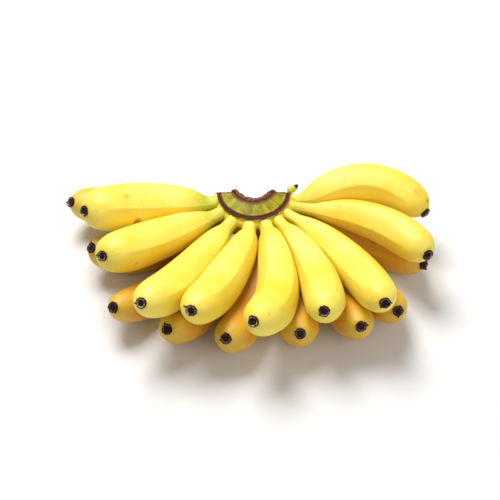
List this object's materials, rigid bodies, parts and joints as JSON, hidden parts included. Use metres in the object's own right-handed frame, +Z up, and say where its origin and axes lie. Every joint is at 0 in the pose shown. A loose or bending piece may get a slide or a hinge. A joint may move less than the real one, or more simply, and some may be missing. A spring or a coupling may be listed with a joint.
{
  "type": "hand of bananas",
  "caption": "Whole hand of small ripe dessert bananas in two fanned rows on a cut half-round crown, each fruit ending in a dried flower scar; it lies on the bellies of its lower row.",
  "frame": {"origin": "on the resting plane, under the middle of the hand's outer box", "axes": "+X from the hand's left end to its right end as seen from the fruit tips, +Y from the fruit tips to the cut back of the crown, +Z up"},
  "size_m": [0.3094, 0.187, 0.0772],
  "materials": {
    "peel": "ripe yellow banana peel, smooth and softly satin, greener at the stalks",
    "crown_skin": "matt green-yellow crown skin with a brown bract scar and a brown dried cut",
    "dried_tissue": "matt, wrinkled, dried dark brown flower remains"
  },
  "bodies": {
    "root": {"crown": "crown_skin", "upper_finger_1": "peel", "upper_flower_scar_1": "dried_tissue", "upper_finger_2": "peel", "upper_flower_scar_2": "dried_tissue", "upper_finger_3": "peel", "upper_flower_scar_3": "dried_tissue", "upper_finger_4": "peel", "upper_flower_scar_4": "dried_tissue", "upper_finger_5": "peel", "upper_flower_scar_5": "dried_tissue", "upper_finger_6": "peel", "upper_flower_scar_6": "dried_tissue", "upper_finger_7": "peel", "upper_flower_scar_7": "dried_tissue", "upper_finger_8": "peel", "upper_flower_scar_8": "dried_tissue", "upper_finger_9": "peel", "upper_flower_scar_9": "dried_tissue", "lower_finger_1": "peel", "lower_flower_scar_1": "dried_tissue", "lower_finger_2": "peel", "lower_flower_scar_2": "dried_tissue", "lower_finger_3": "peel", "lower_flower_scar_3": "dried_tissue", "lower_finger_4": "peel", "lower_flower_scar_4": "dried_tissue", "lower_finger_5": "peel", "lower_flower_scar_5": "dried_tissue", "lower_finger_6": "peel", "lower_flower_scar_6": "dried_tissue", "lower_finger_7": "peel", "lower_flower_scar_7": "dried_tissue", "lower_finger_8": "peel", "lower_flower_scar_8": "dried_tissue", "lower_finger_9": "peel", "lower_flower_scar_9": "dried_tissue", "stunted_finger": "crown_skin"}
  },
  "joints": []
}
